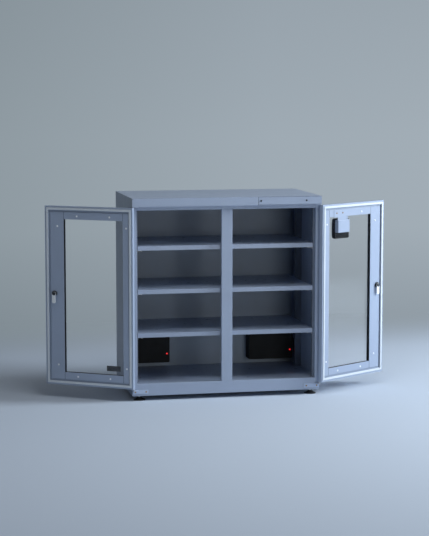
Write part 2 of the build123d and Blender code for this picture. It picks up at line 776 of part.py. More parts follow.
pad_rim = 4.0
pad_neck_radius = 11.0
for x, side_name in zip(foot_xs, ("left", "right")):
    for y, end_name in zip(foot_ys, ("front", "rear")):
        with BuildPart() as foot:
            with BuildSketch(Plane((x, y, 0), x_dir=(1, 0, 0), z_dir=(0, -1, 0))):
                with BuildLine():
                    Polyline(
                        (0, 0), (foot_pad_radius, 0),
                        (foot_pad_radius, pad_rim), (foot_pad_radius - 8, pad_rim + 2),
                        (pad_neck_radius + 3, foot_pad_height - 3),
                        (pad_neck_radius, foot_pad_height),
                        (stem_radius + running_clearance, foot_pad_height),
                        (stem_radius + running_clearance, foot_pad_height - socket_depth),
                        (0, foot_pad_height - socket_depth), (0, 0),
                    )
                make_face()
            revolve(axis=Axis((x, y, 0), (0, 0, 1)))
        save(foot.part, f"{end_name}_{side_name}_foot")

# ---- Power inlet: flanged socket in the back of the base --------------------------------
with BuildPart() as power_inlet:
    inlet_spot = (inlet_x, body_bottom + inlet_rise)
    with BuildSketch(Plane.XZ.offset(-back_face)):
        with Locations(inlet_spot):
            RectangleRounded(inlet_width + 10, inlet_height + 10, 4)
    extrude(amount=2)
    with BuildSketch(Plane.XZ.offset(-rear)):
        with Locations(inlet_spot):
            RectangleRounded(inlet_width - 0.2, inlet_height - 0.2, 3)
    extrude(amount=inlet_depth)
    with BuildSketch(Plane.XZ.offset(-rear)):
        with Locations(inlet_spot):
            RectangleRounded(inlet_width - 2 * inlet_wall, inlet_height - 2 * inlet_wall, 2)
    extrude(amount=inlet_depth - inlet_wall, mode=Mode.SUBTRACT)
    with BuildSketch(Plane.XZ.offset(-rear + inlet_depth - inlet_wall)):
        with Locations(
            (inlet_x - 7, inlet_spot[1] - 2), (inlet_x, inlet_spot[1] + 3), (inlet_x + 7, inlet_spot[1] - 2)
        ):
            Rectangle(2, 5)
    extrude(amount=-10)
save(power_inlet.part, "power_inlet")

# ---- Doors, modelled closed on the left and mirrored for the right ----------------------
door_x = -half_width + door_width / 2
door_z = (door_bottom + door_top) / 2
window_x = (window_left + window_right) / 2
window_z = (window_bottom + window_top) / 2
window_width = window_right - window_left
window_height = window_top - window_bottom
stile_screws = [
    (x, z)
    for x in (hinge_lining_x + hinge_screw_inset, latch_lining_x - latch_screw_inset)
    for z in (lining_bottom + lining_screw_end_inset, lining_top - lining_screw_end_inset)
]
rail_screw_xs = [window_left + rail_screw_inset, window_right - rail_screw_inset]
rail_screw_zs = [lining_bottom + lining_rail_height / 2 - 2.5, lining_top - lining_rail_height / 2 - 2.5]
rail_screws = [(x, z) for x in rail_screw_xs for z in rail_screw_zs]
screw_boss_radius = 5.0
hinge_block_width, hinge_block_depth, hinge_block_height = 22.0, 14.0, 5.0

with BuildPart() as door_pan:
    with BuildSketch(Plane.XZ.offset(-front)):
        with Locations((door_x, door_z)):
            Rectangle(door_width, door_height)
    extrude(amount=-pan_depth)
    fillet(edges().group_by(Axis.Y)[0], bend_radius)
    offset(amount=-sheet, openings=faces().sort_by(Axis.Y)[-1])
    with BuildSketch(Plane.XZ.offset(-front - pan_depth)):
        with Locations((door_x, door_z)):
            Rectangle(door_width, door_height)
            Rectangle(
                door_width - 2 * lip_width, door_height - 2 * lip_width, mode=Mode.SUBTRACT
            )
    extrude(amount=sheet)
    with BuildSketch(Plane.XZ.offset(-front - sheet)):
        with Locations(*stile_screws, *rail_screws):
            Circle(screw_boss_radius)
            Circle(lining_screw_radius + running_clearance, mode=Mode.SUBTRACT)
    extrude(amount=-(lining_back - front - sheet))
    for z, align in ((door_bottom + sheet, Align.MIN), (door_top - sheet, Align.MAX)):
        with Locations((-half_width + sheet, front + sheet, z)):
            Box(hinge_block_width, hinge_block_depth, hinge_block_height,
                align=(Align.MIN, Align.MIN, align))
    with BuildSketch(Plane.XZ.offset(-front)):
        with Locations((window_x, window_z)):
            Rectangle(window_width, window_height)
        with Locations((latch_x, latch_height)):
            Circle(barrel_radius + running_clearance)
    extrude(amount=-sheet, mode=Mode.SUBTRACT)
    with BuildSketch(Plane.XY.offset(door_bottom)):
        with Locations((-pivot_x, pivot_y)):
            Circle(pin_radius + running_clearance)
    extrude(amount=door_height, mode=Mode.SUBTRACT)
save(left_open * door_pan.part, "left_door_pan")
save(right_open * mirrored(door_pan.part), "right_door_pan")

with BuildPart() as door_glass:
    with BuildSketch(Plane.XZ.offset(-glass_front)):
        with Locations((window_x, window_z)):
            Rectangle(window_width + 2 * glass_margin, window_height + 2 * glass_margin)
    extrude(amount=-glass_thickness)
save(left_open * door_glass.part, "left_door_glass")
save(right_open * mirrored(door_glass.part), "right_door_glass")

with BuildPart() as glazing_seal:
    with BuildSketch(Plane.XZ.offset(-glass_back)):
        with Locations((window_x, window_z)):
            Rectangle(window_width + 2 * seal_width, window_height + 2 * seal_width)
            Rectangle(window_width, window_height, mode=Mode.SUBTRACT)
    extrude(amount=-(lining_back - glass_back))
save(left_open * glazing_seal.part, "left_glazing_seal")
save(right_open * mirrored(glazing_seal.part), "right_glazing_seal")

with BuildPart() as door_gasket:
    with BuildSketch(Plane.XZ.offset(-front - pan_depth)):
        with Locations((door_x, door_z)):
            Rectangle(door_width - 2 * gasket_inset, door_height - 2 * gasket_inset)
            Rectangle(
                door_width - 2 * (gasket_inset + gasket_width),
                door_height - 2 * (gasket_inset + gasket_width),
                mode=Mode.SUBTRACT,
            )
    extrude(amount=-gasket_foot)
    with BuildSketch(Plane.XZ.offset(-front - pan_depth - gasket_foot)):
        with Locations((door_x, door_z)):
            Rectangle(door_width - 2 * (gasket_inset + 3), door_height - 2 * (gasket_inset + 3))
            Rectangle(
                door_width - 2 * (gasket_inset + gasket_width - 3),
                door_height - 2 * (gasket_inset + gasket_width - 3),
                mode=Mode.SUBTRACT,
            )
    extrude(amount=-gasket_neck)
    with BuildSketch(Plane.XZ.offset(-front - pan_depth - gasket_foot - gasket_neck)):
        with Locations((door_x, door_z)):
            Rectangle(door_width - 2 * (gasket_inset + 1), door_height - 2 * (gasket_inset + 1))
            Rectangle(
                door_width - 2 * (gasket_inset + gasket_width - 1),
                door_height - 2 * (gasket_inset + gasket_width - 1),
                mode=Mode.SUBTRACT,
            )
    extrude(amount=-(gasket_proud - gasket_foot - gasket_neck))
    fillet(faces().sort_by(Axis.Y)[-1].edges(), 1)
save(left_open * door_gasket.part, "left_door_gasket")
save(right_open * mirrored(door_gasket.part), "right_door_gasket")

stile_length = lining_top - lining_bottom
with BuildPart() as door_stiles:
    with BuildSketch(Plane.XY.offset(lining_bottom)):
        with BuildLine():
            FilletPolyline(
                (hinge_lining_x, front + sheet), (hinge_lining_x, lining_face),
                (window_left, lining_face), radius=bend_radius,
            )
            offset(amount=sheet, side=Side.RIGHT)
        make_face()
        with BuildLine():
            FilletPolyline(
                (latch_lining_x, front + sheet), (latch_lining_x, lining_face),
                (window_right, lining_face), radius=bend_radius,
            )
            offset(amount=sheet, side=Side.LEFT)
        make_face()
    extrude(amount=stile_length)
    with BuildSketch(Plane.XZ.offset(-lining_back)):
        with Locations(*stile_screws):
            Circle(lining_screw_radius + running_clearance)
        with Locations((latch_x, latch_height)):
            Circle(barrel_radius + running_clearance)
    extrude(amount=-sheet, mode=Mode.SUBTRACT)
save(left_open * door_stiles.part, "left_door_stiles")
save(right_open * mirrored(door_stiles.part), "right_door_stiles")


def lining_rails(screw_spots, screw_hole_radius):
    """Top and bottom lining plates of the closed left door."""
    with BuildPart() as rails:
        for outer, inner, side in (
            (lining_top, window_top, Side.RIGHT), (lining_bottom, window_bottom, Side.LEFT)
        ):
            with BuildSketch(Plane.YZ.offset(window_left + seam_gap)):
                with BuildLine():
                    FilletPolyline(
                        (front + sheet, outer), (lining_face, outer), (lining_face, inner),
                        radius=bend_radius,
                    )
                    offset(amount=sheet, side=side)
                make_face()
            extrude(amount=window_width - 2 * seam_gap)
        with BuildSketch(Plane.XZ.offset(-lining_back)):
            for (x, z), hole in zip(screw_spots, screw_hole_radius):
                with Locations((x, z)):
                    Circle(hole + running_clearance)
        extrude(amount=-sheet, mode=Mode.SUBTRACT)
    return rails.part


tab_screw_z = lining_top - lining_rail_height / 2
tab_screws = [
    (-half_width + tab_start + tab_screw_inset, tab_screw_z),
    (-half_width + tab_start + tab_screw_inset + tab_screw_spacing, tab_screw_z),
]
right_rail_screws = [rail_screws[0], rail_screws[2], rail_screws[3]]
save(left_open * lining_rails(rail_screws, [lining_screw_radius] * 4), "left_door_rails")
right_holes = [lining_screw_radius] * 3 + [bracket_screw_radius] * 2
save(right_open * mirrored(lining_rails(right_rail_screws + tab_screws, right_holes)), "right_door_rails")


def inward_screws(spots, seat_y, radius, head_radius, head_height, length):
    """Screws driven towards -Y, seated on the plane y = seat_y."""
    turned = Pos(0, 2 * seat_y, 0) * Rot(0, 0, 180)
    flipped = [(-x, z) for x, z in spots]
    return turned * pan_head_screws(flipped, seat_y, radius, head_radius, head_height, length)


lining_screw_length = 12.0
for spots, pose, name in (
    (stile_screws + rail_screws, left_open, "left_door_screws"),
    (stile_screws + right_rail_screws, right_open, "right_door_screws"),
):
    screws = inward_screws(spots, lining_face, lining_screw_radius, 4.5, 2.2, lining_screw_length)
    save(pose * (mirrored(screws) if pose is right_open else screws), name)

# ---- Door latches -----------------------------------------------------------------------
escutcheon_thickness = 3.0
latch_spot = (latch_x, latch_height)
with BuildPart() as latch_body:
    with BuildSketch(Plane.XZ.offset(-front)):
        with Locations(latch_spot):
            Circle(boss_radius + 2)
    extrude(amount=escutcheon_thickness)
    chamfer(faces().sort_by(Axis.Y)[0].edges(), 1)
    with BuildSketch(Plane.XZ.offset(-front)):
        with Locations(latch_spot):
            Circle(barrel_radius)
    extrude(amount=-(boss_face - front))
    with BuildSketch(Plane.XZ.offset(-lining_face)):
        with Locations(latch_spot):
            Circle(boss_radius)
    extrude(amount=-(boss_face - lining_face))
    chamfer(faces().sort_by(Axis.Y)[-1].edges(), 1.5)
    with BuildSketch(Plane.XZ.offset(-front + escutcheon_thickness)):
        with Locations(latch_spot):
            Circle(spindle_radius + running_clearance)
    extrude(amount=-(boss_face - front + escutcheon_thickness), mode=Mode.SUBTRACT)
save(left_open * latch_body.part, "left_latch_body")
save(right_open * mirrored(latch_body.part), "right_latch_body")

hub_back = front - escutcheon_thickness - lift_clearance
grip_back = hub_back - handle_hub_depth + 3.0
with BuildPart() as latch_handle:
    with BuildSketch(Plane.XZ.offset(-grip_back)):
        with Locations(latch_spot):
            SlotOverall(grip_length, grip_width, rotation=90)
    extrude(amount=grip_depth, taper=6)
    chamfer(faces().sort_by(Axis.Y)[0].edges(), 1.5)
    with BuildSketch(Plane.XZ.offset(-hub_back)):
        with Locations(latch_spot):
            Circle(handle_hub_radius)
    extrude(amount=handle_hub_depth)
    chamfer(edges().filter_by(GeomType.CIRCLE).group_by(SortBy.RADIUS)[-1].sort_by(Axis.Y)[0], 1.5)
    with BuildSketch(Plane.XZ.offset(-hub_back)):
        with Locations(latch_spot):
            Circle(spindle_radius)
    extrude(amount=-(boss_face - hub_back))
    with BuildSketch(Plane.XZ.offset(-boss_face)):
        with Locations(latch_spot):
            Rectangle(spindle_square, spindle_square)
    extrude(amount=-(cam_back - boss_face))
    with BuildSketch(Plane.XZ.offset(-cam_back)):
        with Locations(latch_spot):
            Circle(stud_radius)
    extrude(amount=-(nut_height + 1))
save(left_open * latch_handle.part, "left_latch_handle")
save(right_open * mirrored(latch_handle.part), "right_latch_handle")

with BuildPart() as latch_cam:
    with BuildSketch(Plane.XZ.offset(-cam_front)):
        with Locations((latch_x, latch_height - cam_length)):
            Rectangle(cam_width, cam_length, align=(Align.CENTER, Align.MIN))
        with Locations(latch_spot):
            Circle(cam_width / 2)
    extrude(amount=-cam_thickness)
    fillet(edges().filter_by(Axis.Y).group_by(Axis.Z)[0], cam_width * 0.4)
    with BuildSketch(Plane.XZ.offset(-cam_front)):
        with Locations(latch_spot):
            Rectangle(square_hole, square_hole)
    extrude(amount=-cam_thickness, mode=Mode.SUBTRACT)
    with BuildSketch(Plane.XZ.offset(-cam_back)):
        with Locations(latch_spot):
            RegularPolygon(nut_radius, 6)
            Circle(stud_radius + running_clearance, mode=Mode.SUBTRACT)
    extrude(amount=-nut_height)
save(left_open * latch_cam.part, "left_latch_cam")
save(right_open * mirrored(latch_cam.part), "right_latch_cam")

# ---- Humidity sensor inside the right door and display outside it -----------------------
sensor_top = window_top - sensor_drop
tab_left = -half_width + tab_start
sensor_left = -half_width + sensor_start
display_left = -half_width + display_start
display_top = window_top - display_drop
with BuildPart() as sensor_bracket:
    with BuildSketch(Plane.XZ.offset(-lining_face)):
        with Locations((tab_left, lining_top - 1)):
            Rectangle(tab_width, tab_drop, align=(Align.MIN, Align.MAX))
        with Locations((sensor_left, sensor_top)):
            Rectangle(
                neck_width, lining_top - tab_drop - sensor_top, align=(Align.MIN, Align.MIN)
            )
        with Locations((sensor_left + neck_width - 8, sensor_top + 8)):
            Circle(wire_hole_radius, mode=Mode.SUBTRACT)
        with Locations(*tab_screws):
            Circle(bracket_screw_radius + running_clearance, mode=Mode.SUBTRACT)
    extrude(amount=-bracket_sheet)
    with BuildSketch(Plane.XY.offset(sensor_top)):
        with Locations((sensor_left, glass_back + 1)):
            Rectangle(
                sensor_width, lining_face + bracket_sheet - glass_back - 1,
                align=(Align.MIN, Align.MIN),
            )
    extrude(amount=bracket_sheet)
save(right_open * mirrored(sensor_bracket.part), "sensor_bracket")

with BuildPart() as sensor_box:
    with BuildSketch(Plane.XZ.offset(-glass_back)):
        with Locations((sensor_left, sensor_top)):
            Rectangle(sensor_width, sensor_height, align=(Align.MIN, Align.MAX))
    extrude(amount=-sensor_depth)
    fillet(faces().sort_by(Axis.Y)[-1].edges(), bend_radius)
    offset(amount=-sheet, openings=faces().sort_by(Axis.Y)[0])
    with BuildSketch(Plane.XY.offset(sensor_top - sensor_height)):
        with Locations((sensor_left + sensor_width / 2, glass_back + sensor_depth / 2)):
            with GridLocations(9, 1, 8, 1):
                Rectangle(4, sensor_depth * 0.5)
    extrude(amount=sheet, mode=Mode.SUBTRACT)
save(right_open * mirrored(sensor_box.part), "sensor_box")

display_mid = (display_left + display_width / 2, display_top - display_height / 2)
display_window_spot = (display_mid[0], display_mid[1] + 18)
display_front = glass_front - display_depth
display_end_depth = display_depth - display_bow
display_bottom = display_top - display_height
with BuildPart() as display_housing:
    with BuildSketch(Plane.YZ.offset(display_left)):
        with BuildLine():
            Polyline(
                (glass_front - display_end_depth, display_bottom), (glass_front, display_bottom),
                (glass_front, display_top), (glass_front - display_end_depth, display_top),
            )
            ThreePointArc(
                (glass_front - display_end_depth, display_top), (display_front, display_mid[1]),
                (glass_front - display_end_depth, display_bottom),
            )
        make_face()
        fillet(vertices().group_by(Axis.X)[0], display_edge)
    extrude(amount=display_width)
    with BuildSketch(Plane.XY.offset(display_bottom)):
        with Locations((display_mid[0], glass_front)):
            Rectangle(display_width, display_depth, align=(Align.CENTER, Align.MAX))
        fillet(vertices().group_by(Axis.Y)[0], display_edge)
    extrude(amount=display_height, mode=Mode.INTERSECT)
    with BuildSketch(Plane.XZ.offset(-glass_front)):
        with Locations(display_mid):
            RectangleRounded(display_width, display_height, display_corner)
    extrude(amount=display_depth, mode=Mode.INTERSECT)
    with BuildSketch(Plane.XZ.offset(-display_front)):
        with Locations(display_window_spot):
            RectangleRounded(display_window_width, display_window_height, 4)
    extrude(amount=-display_window_sink, mode=Mode.SUBTRACT)
    with BuildSketch(Plane.XZ.offset(-display_front)):
        with Locations((display_mid[0], display_mid[1] - button_drop)):
            with GridLocations(3.2 * button_radius, 1, 3, 1):
                Circle(button_radius)
    extrude(amount=-display_window_sink)
save(right_open * mirrored(display_housing.part), "display_housing")

with BuildPart() as display_window:
    with BuildSketch(Plane.XZ.offset(-display_front - display_window_sink)):
        with Locations(display_window_spot):
            RectangleRounded(display_window_width - 0.2, display_window_height - 0.2, 4)
    extrude(amount=display_window_thickness)
save(right_open * mirrored(display_window.part), "display_window")

tab_screw_set = inward_screws(
    tab_screws, lining_face + bracket_sheet, bracket_screw_radius,
    bracket_screw_head_radius, bracket_screw_head_height, bracket_sheet + sheet + 4,
)
save(right_open * mirrored(tab_screw_set), "sensor_screws")
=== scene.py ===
import json
import math

import bmesh
import bpy
from mathutils import Matrix, Vector


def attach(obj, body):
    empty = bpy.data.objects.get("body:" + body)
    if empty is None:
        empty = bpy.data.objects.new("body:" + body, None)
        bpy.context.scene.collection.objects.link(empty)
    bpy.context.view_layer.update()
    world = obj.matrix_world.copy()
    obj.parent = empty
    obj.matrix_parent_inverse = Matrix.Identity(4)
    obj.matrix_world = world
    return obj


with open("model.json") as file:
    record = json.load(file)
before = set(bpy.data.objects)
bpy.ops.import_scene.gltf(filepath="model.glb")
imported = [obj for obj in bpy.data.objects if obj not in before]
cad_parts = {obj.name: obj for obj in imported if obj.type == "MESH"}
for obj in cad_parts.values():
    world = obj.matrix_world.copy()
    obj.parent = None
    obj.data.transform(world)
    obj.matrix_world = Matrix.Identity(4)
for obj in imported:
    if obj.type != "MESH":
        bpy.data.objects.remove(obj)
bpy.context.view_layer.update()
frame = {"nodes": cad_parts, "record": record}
nodes = frame["nodes"]
sc = bpy.context.scene


# ---- node helpers -----------------------------------------------------------------------
def new_material(name):
    m = bpy.data.materials.new(name)
    m.use_nodes = True
    m.node_tree.nodes.clear()
    return m, m.node_tree


def add(tree, kind, **sockets):
    n = tree.nodes.new(kind)
    for key, value in sockets.items():
        if key.startswith("p_"):
            setattr(n, key[2:], value)
        else:
            n.inputs[key.replace("_", " ")].default_value = value
    return n


def link(tree, a, out, b, into):
    tree.links.new(a.outputs[out], b.inputs[into])


def ramp(tree, source, out, stops):
    r = tree.nodes.new("ShaderNodeValToRGB")
    while len(r.color_ramp.elements) < len(stops):
        r.color_ramp.elements.new(0.5)
    for e, (pos, col) in zip(r.color_ramp.elements, stops):
        e.position = pos
        e.color = (*col, 1.0) if len(col) == 3 else col
    tree.links.new(source.outputs[out], r.inputs["Fac"])
    return r


def spread_over(tree, source, out, low, high, to_low=0.0, to_high=1.0, kind="LINEAR"):
    """Map Range node that takes low..high to to_low..to_high."""
    r = add(tree, "ShaderNodeMapRange", p_interpolation_type=kind)
    r.inputs["From Min"].default_value = low
    r.inputs["From Max"].default_value = high
    r.inputs["To Min"].default_value = to_low
    r.inputs["To Max"].default_value = to_high
    link(tree, source, out, r, "Value")
    return r


def shade(c, k):
    return tuple(min(1.0, v * k) for v in c)


# A colour Mix node's sockets, by number: its two colours in and its colour out.
MIX_A, MIX_B, MIX_OUT = 6, 7, 2
DUST = (0.55, 0.56, 0.57)


def surface(name, color, rough, metallic=0.0, coat=0.0, grain=900.0, grain_depth=0.00002,
            mottle=0.05, spread=0.06, bevel=0.0, specular=0.5, dust=0.0, core=None):
    """A painted, moulded, rubber or metal finish: mottled colour, uneven gloss, fine relief.

    dust lightens faces that look up; core is (centre, axis, radius, colour) and gives the
    surface within that radius of the axis its own colour.
    """
    m, t = new_material(name)
    out = add(t, "ShaderNodeOutputMaterial")
    bsdf = add(t, "ShaderNodeBsdfPrincipled")
    bsdf.inputs["Metallic"].default_value = metallic
    bsdf.inputs["Coat Weight"].default_value = coat
    bsdf.inputs["Specular IOR Level"].default_value = specular
    link(t, bsdf, "BSDF", out, "Surface")
    coords = add(t, "ShaderNodeTexCoord")
    broad = add(t, "ShaderNodeTexNoise", Scale=4.0, Detail=4.0, Roughness=0.6)
    link(t, coords, "Object", broad, "Vector")
    col = ramp(t, broad, "Fac",
               [(0.3, shade(color, 1 - mottle)), (0.7, shade(color, 1 + mottle))])
    link(t, col, "Color", bsdf, "Base Color")
    if dust:
        geo = add(t, "ShaderNodeNewGeometry")
        split = add(t, "ShaderNodeSeparateXYZ")
        link(t, geo, "Normal", split, "Vector")
        fine = add(t, "ShaderNodeTexNoise", Scale=60.0, Detail=6.0, Roughness=0.7)
        link(t, coords, "Object", fine, "Vector")
        up = add(t, "ShaderNodeMath", p_operation="MULTIPLY", p_use_clamp=True)
        link(t, split, "Z", up, 0)
        link(t, fine, "Fac", up, 1)
        amount = add(t, "ShaderNodeMath", p_operation="MULTIPLY")
        link(t, up, "Value", amount, 0)
        amount.inputs[1].default_value = dust
        mix = add(t, "ShaderNodeMix", p_data_type="RGBA")
        link(t, amount, "Value", mix, "Factor")
        link(t, col, "Color", mix, MIX_A)
        mix.inputs[MIX_B].default_value = (*DUST, 1)
        link(t, mix, MIX_OUT, bsdf, "Base Color")
    if core:
        centre, axis, radius, core_color = core
        away = add(t, "ShaderNodeVectorMath", p_operation="SUBTRACT")
        link(t, coords, "Object", away, 0)
        away.inputs[1].default_value = centre
        turned_off = add(t, "ShaderNodeVectorMath", p_operation="CROSS_PRODUCT")
        link(t, away, "Vector", turned_off, 0)
        turned_off.inputs[1].default_value = axis
        distance = add(t, "ShaderNodeVectorMath", p_operation="LENGTH")
        link(t, turned_off, "Vector", distance, 0)
        inside = add(t, "ShaderNodeMath", p_operation="LESS_THAN")
        link(t, distance, "Value", inside, 0)
        inside.inputs[1].default_value = radius
        tint = add(t, "ShaderNodeMix", p_data_type="RGBA")
        link(t, inside, "Value", tint, "Factor")
        link(t, col, "Color", tint, MIX_A)
        tint.inputs[MIX_B].default_value = (*core_color, 1)
        link(t, tint, MIX_OUT, bsdf, "Base Color")
    gloss = add(t, "ShaderNodeTexNoise", Scale=18.0, Detail=5.0, Roughness=0.65)
    link(t, coords, "Object", gloss, "Vector")
    roughness = spread_over(t, gloss, "Fac", 0.3, 0.7,
                            max(0.02, rough - spread), min(1.0, rough + spread))
    link(t, roughness, "Result", bsdf, "Roughness")
    tex = add(t, "ShaderNodeTexNoise", Scale=grain, Detail=3.0, Roughness=0.55)
    link(t, coords, "Object", tex, "Vector")
    bump = add(t, "ShaderNodeBump", Strength=0.6, Distance=grain_depth)
    link(t, tex, "Fac", bump, "Height")
    if bevel:
        edge = add(t, "ShaderNodeBevel", Radius=bevel)
        edge.samples = 4
        link(t, edge, "Normal", bump, "Normal")
    link(t, bump, "Normal", bsdf, "Normal")
    return m


PAINT = (0.335, 0.405, 0.535)
BRIGHT_ZINC = (0.86, 0.89, 0.92)
paint = surface("paint_satin", PAINT, 0.42, grain=700.0, grain_depth=0.00004, mottle=0.03,
                bevel=0.0008, specular=0.5, dust=0.05)
# Painted highlight: the hinge brackets take the body paint made lighter, standing in for light on
# their faces; they are painted like the body.
paint_bracket_lit = surface("paint_bracket_lit", shade(PAINT, 1.3), 0.36, grain=700.0,
                        grain_depth=0.00004, mottle=0.03, bevel=0.0008)
# Painted shade: shelves and floor pan take the body paint made a little darker, for the shade
# inside the cabinet; it is also glossier.
paint_inner_shaded = surface("paint_inside_shaded", shade(PAINT, 0.92), 0.32, grain=700.0, grain_depth=0.00004,
                      mottle=0.03, bevel=0.0008)
# Partly painted shade: the back wall takes the body paint made darker, for the shade at the back
# of the cabinet, and given a greyer tint.
paint_back_shaded = surface("paint_back_wall_shaded", (0.308, 0.372, 0.452), 0.5, grain=700.0,
                     grain_depth=0.00004, mottle=0.06)
# Painted shade: the shelf uprights take the body paint at less than half its brightness, standing
# in for the jamb's shadow on them.
paint_shaded = surface("paint_uprights_shaded", shade(PAINT, 0.45), 0.5, grain=700.0,
                       grain_depth=0.00004, mottle=0.05, bevel=0.0008)
steel = surface("zinc_steel", (0.55, 0.56, 0.58), 0.34, metallic=1.0, grain=500.0, mottle=0.1,
                bevel=0.0003)
bright_zinc = surface("bright_zinc", BRIGHT_ZINC, 0.38, metallic=0.15, grain=600.0,
                      mottle=0.05, bevel=0.0003)
yellow = surface("yellow_zinc", (0.34, 0.20, 0.04), 0.42, metallic=0.2, grain=500.0, mottle=0.16,
                 bevel=0.0003)
black = surface("black_moulded", (0.012, 0.0145, 0.017), 0.45, grain=1400.0, grain_depth=0.00005,
                mottle=0.08, bevel=0.0006)
black_coat = surface("black_sheet", (0.011, 0.0125, 0.0135), 0.62, grain=900.0,
                     grain_depth=0.00004, mottle=0.08, bevel=0.0006, specular=0.25)
rubber = surface("black_rubber", (0.010, 0.011, 0.012), 0.62, grain=1100.0, grain_depth=0.00003,
                 mottle=0.1, bevel=0.0006, dust=0.03)
gasket = surface("grey_gasket", (0.66, 0.72, 0.78), 0.58, grain=800.0, grain_depth=0.00003,
                 mottle=0.05, bevel=0.0005)


GLASS_IOR = 1.25              # low, so that the thin pane dims what is behind it little


def glass_material(name, tint):
    """Clear pane with faint smears."""
    m, t = new_material(name)
    out = add(t, "ShaderNodeOutputMaterial")
    bsdf = add(t, "ShaderNodeBsdfPrincipled")
    bsdf.inputs["Transmission Weight"].default_value = 1.0
    bsdf.inputs["IOR"].default_value = GLASS_IOR
    bsdf.inputs["Base Color"].default_value = (*tint, 1)
    link(t, bsdf, "BSDF", out, "Surface")
    coords = add(t, "ShaderNodeTexCoord")
    smear = add(t, "ShaderNodeTexNoise", Scale=7.0, Detail=5.0, Roughness=0.7)
    link(t, coords, "Object", smear, "Vector")
    roughness = spread_over(t, smear, "Fac", 0.45, 0.8, 0.0, 0.05)
    link(t, roughness, "Result", bsdf, "Roughness")
    return m


glass = glass_material("clear_glass", (1.0, 1.0, 1.0))


def lamp_material(name, color, strength):
    """Lit indicator lens with a fine grain."""
    m, t = new_material(name)
    out = add(t, "ShaderNodeOutputMaterial")
    bsdf = add(t, "ShaderNodeBsdfPrincipled")
    bsdf.inputs["Base Color"].default_value = (*shade(color, 0.5), 1)
    bsdf.inputs["Roughness"].default_value = 0.2
    bsdf.inputs["Emission Strength"].default_value = strength
    link(t, bsdf, "BSDF", out, "Surface")
    coords = add(t, "ShaderNodeTexCoord")
    vor = add(t, "ShaderNodeTexVoronoi", Scale=900.0)
    link(t, coords, "Object", vor, "Vector")
    col = ramp(t, vor, "Distance", [(0.0, color), (1.0, shade(color, 0.7))])
    link(t, col, "Color", bsdf, "Emission Color")
    return m


lamp = lamp_material("red_lamp", (1.0, 0.02, 0.02), 1.1)
display = surface("smoked_window", (0.012, 0.015, 0.018), 0.12, grain=300.0, grain_depth=0.000005,
                  mottle=0.05, spread=0.03, coat=0.5)

joint_spot = {j["name"]: (j["pos_m"], j["axis"]) for j in frame["record"]["behaviour"]["joints"]}
NUT_REACH, NUT_COLOR = 0.0118, (0.035, 0.04, 0.05)    # the dark end of the cam, round its nut
latch_cam = {}
for side in ("left", "right"):
    cam_centre, cam_axis = joint_spot[side + "_latch_turn"]
    latch_cam[side] = surface(side + "_cam_zinc", BRIGHT_ZINC, 0.38, metallic=0.15,
                              grain=600.0, mottle=0.05, bevel=0.0003,
                              core=(cam_centre, cam_axis, NUT_REACH, NUT_COLOR))

# The first word found in a node's name gives its finish; the rest is painted.
by_word = [
    ("glass", glass), ("glazing_seal", rubber), ("gasket", gasket), ("dryer_lamps", lamp),
    ("dryer", black_coat), ("power_inlet", black), ("display_window", display),
    ("display_housing", black), ("latch_body", black), ("latch_handle", black),
    ("left_latch_cam", latch_cam["left"]), ("right_latch_cam", latch_cam["right"]),
    ("door_screws", bright_zinc), ("sensor_screws", yellow),
    ("bracket_screws", yellow), ("hinge_pins", steel), ("header_fasteners", black_coat),
    ("shelf_clips", steel), ("locknuts", steel), ("foot_stems", bright_zinc), ("_foot", rubber),
    ("shelf_uprights", paint_shaded), ("shelf", paint_inner_shaded), ("floor_pan", paint_inner_shaded),
    ("back_panel", paint_back_shaded),
    ("lower_hinge_brackets", paint_bracket_lit),
]
for name, ob in nodes.items():
    chosen = next((m for word, m in by_word if word in name), paint)
    ob.data.materials.clear()
    ob.data.materials.append(chosen)


# ---- bare plate, groove strips, painted seam shadows and washers ------------------------
OPEN_ANGLE = math.radians(213)


def opened(side):
    """Matrix that takes a closed door's place to its open place."""
    pivot = Vector(joint_spot[side + "_door_hinge"][0])
    pivot.z = 0
    turn = Matrix.Rotation(-OPEN_ANGLE if side == "left" else OPEN_ANGLE, 4, "Z")
    return Matrix.Translation(pivot) @ turn @ Matrix.Translation(-pivot)


def rounded_plate(name, x0, x1, y0, y1, z0, z1, radius, steps=5, soft=0.0003):
    """Thin plate in a closed door's place, corners rounded in the door's plane."""
    bm = bmesh.new()
    loop = []
    for cx, cz, start in ((x1 - radius, z1 - radius, 0), (x0 + radius, z1 - radius, 90),
                          (x0 + radius, z0 + radius, 180), (x1 - radius, z0 + radius, 270)):
        for i in range(steps + 1):
            a = math.radians(start + 90 * i / steps)
            loop.append((cx + radius * math.cos(a), cz + radius * math.sin(a)))
    sides = [[bm.verts.new((x, y, z)) for x, z in loop] for y in (y0, y1)]
    bm.faces.new(sides[0])
    bm.faces.new(list(reversed(sides[1])))
    for i in range(len(loop)):
        j = (i + 1) % len(loop)
        bm.faces.new((sides[0][j], sides[0][i], sides[1][i], sides[1][j]))
    return as_object(name, bm, soft)


def washers(name, spots, y0, y1, inner, outer, chamfer=0.0002, steps=28):
    """Flat rings round screw heads, in a closed door's place."""
    bm = bmesh.new()
    for cx, cz in spots:
        rings = []
        for y, r in ((y0, inner), (y1, inner), (y1, outer - chamfer), (y0, outer)):
            rings.append([bm.verts.new((cx + r * math.cos(math.tau * i / steps), y,
                                        cz + r * math.sin(math.tau * i / steps)))
                          for i in range(steps)])
        for a, b in zip(rings, rings[1:] + rings[:1]):
            for i in range(steps):
                k = (i + 1) % steps
                bm.faces.new((a[i], a[k], b[k], b[i]))
    return as_object(name, bm, 0.0)


